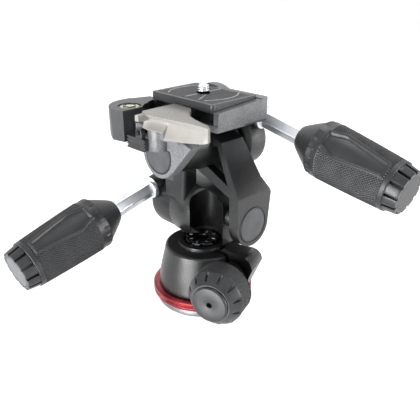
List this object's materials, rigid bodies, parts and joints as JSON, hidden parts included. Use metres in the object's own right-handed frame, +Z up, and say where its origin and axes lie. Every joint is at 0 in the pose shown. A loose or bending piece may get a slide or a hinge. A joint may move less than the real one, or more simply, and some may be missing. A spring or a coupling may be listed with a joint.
{
  "type": "three way pan tilt head",
  "caption": "Support head that pans on its base, tilts forward and back and tilts sideways, with two screw-down handles, a pan knob and a quick release plate.",
  "frame": {"origin": "centre of the base disc's underside, on the pan axis, at the mouth of the tripod thread", "axes": "+Z up along the pan axis, +Y towards the lens, +X to the operator's right"},
  "size_m": [0.1651, 0.1567, 0.135],
  "materials": {
    "bright_aluminium": "fine turned, clear anodised",
    "red_anodised": "turned, red anodised",
    "steel": "turned",
    "bright_steel": "polished and plated",
    "black_casting": "satin black, finely grained",
    "grey_casting": "fine textured dark grey",
    "lever_grey": "smooth satin coat on die casting",
    "black_plastic": "fine grained moulding",
    "grey_plastic": "fine grained moulding",
    "grip_rubber": "moulded with a diamond pattern",
    "pad_rubber": "moulded with fine ribs",
    "bronze": "turned bearing metal",
    "vial": "clear with tinted liquid"
  },
  "bodies": {
    "base": {"base_disc": "bright_aluminium", "thread_insert": "steel", "pan_ring": "red_anodised", "pan_spindle": "steel", "pan_thrust_washer": "bronze", "pan_wave_washer": "steel", "pan_lock_nut": "steel"},
    "housing": {"pan_cup": "black_casting", "clamp_nut": "steel", "pan_post": "black_casting", "tilt_drum": "steel", "tilt_pin": "bright_steel"},
    "knob": {"pan_knob": "black_plastic", "pan_knob_band": "grip_rubber", "pan_knob_cap": "black_plastic", "clamp_bolt": "steel"},
    "yoke": {"tilt_yoke": "grey_casting", "tilt_bush": "bronze", "arm_cap": "grey_plastic", "hub_cap": "grey_plastic", "side_shaft": "steel"},
    "tilt_handle": {"tilt_handle_rod": "bright_steel", "tilt_handle_collar": "bright_steel", "tilt_grip": "grip_rubber", "tilt_grip_end_ring": "black_plastic", "tilt_grip_end_disc": "bright_aluminium"},
    "head": {"platform": "grey_casting", "rear_cap": "grey_plastic", "front_cap": "grey_plastic", "quick_plate": "grey_casting", "grip_pad": "pad_rubber", "level_ring": "black_plastic", "level_vial": "vial", "lever_pin": "bright_steel", "lever_spring": "bright_steel", "catch_pin": "bright_steel"},
    "side_handle": {"side_handle_rod": "bright_steel", "side_handle_collar": "bright_steel", "side_grip": "grip_rubber", "side_grip_end_ring": "black_plastic", "side_grip_end_disc": "bright_aluminium"},
    "lever": {"quick_lever": "lever_grey"},
    "catch": {"safety_catch": "black_plastic"},
    "screw": {"camera_screw": "bright_steel"}
  },
  "joints": [
    {"name": "pan", "type": "hinge", "parent": "base", "child": "housing", "pos_m": [0, 0, 0.02], "axis": [0, 0, 1], "continuous": true},
    {"name": "pan_knob_turn", "type": "hinge", "parent": "housing", "child": "knob", "pos_m": [0.03371, -0.01396, 0.0259], "axis": [0.342, -0.9397, 0], "range_deg": [0, 180]},
    {"name": "tilt", "type": "hinge", "parent": "housing", "child": "yoke", "pos_m": [0, 0.009, 0.057], "axis": [-1, 0, 0], "range_deg": [-30, 90]},
    {"name": "tilt_handle_turn", "type": "hinge", "parent": "yoke", "child": "tilt_handle", "pos_m": [-0.0345, -0.0104, 0.0675], "axis": [0, -0.972, -0.2351], "range_deg": [0, 180]},
    {"name": "side_tilt", "type": "hinge", "parent": "yoke", "child": "head", "pos_m": [0, 0, 0.1012], "axis": [0, 1, 0], "range_deg": [-90, 30]},
    {"name": "side_handle_turn", "type": "hinge", "parent": "head", "child": "side_handle", "pos_m": [0.0164, 0.0324, 0.1144], "axis": [0.977, 0, -0.213], "range_deg": [0, 180]},
    {"name": "lever_open", "type": "hinge", "parent": "head", "child": "lever", "pos_m": [0.002, -0.0336, 0.1182], "axis": [0, 0, -1], "range_deg": [0, 60], "stiffness_Nm_per_rad": 0.05, "springref_deg": -20.05},
    {"name": "catch_press", "type": "hinge", "parent": "head", "child": "catch", "pos_m": [-0.004, -0.043, 0.1152], "axis": [0, -1, 0], "range_deg": [0, 12], "stiffness_Nm_per_rad": 0.01, "springref_deg": -17.19},
    {"name": "camera_screw_turn", "type": "hinge", "parent": "head", "child": "screw", "pos_m": [0.0002, 0.0013, 0.13], "axis": [0, 0, 1], "continuous": true}
  ]
}
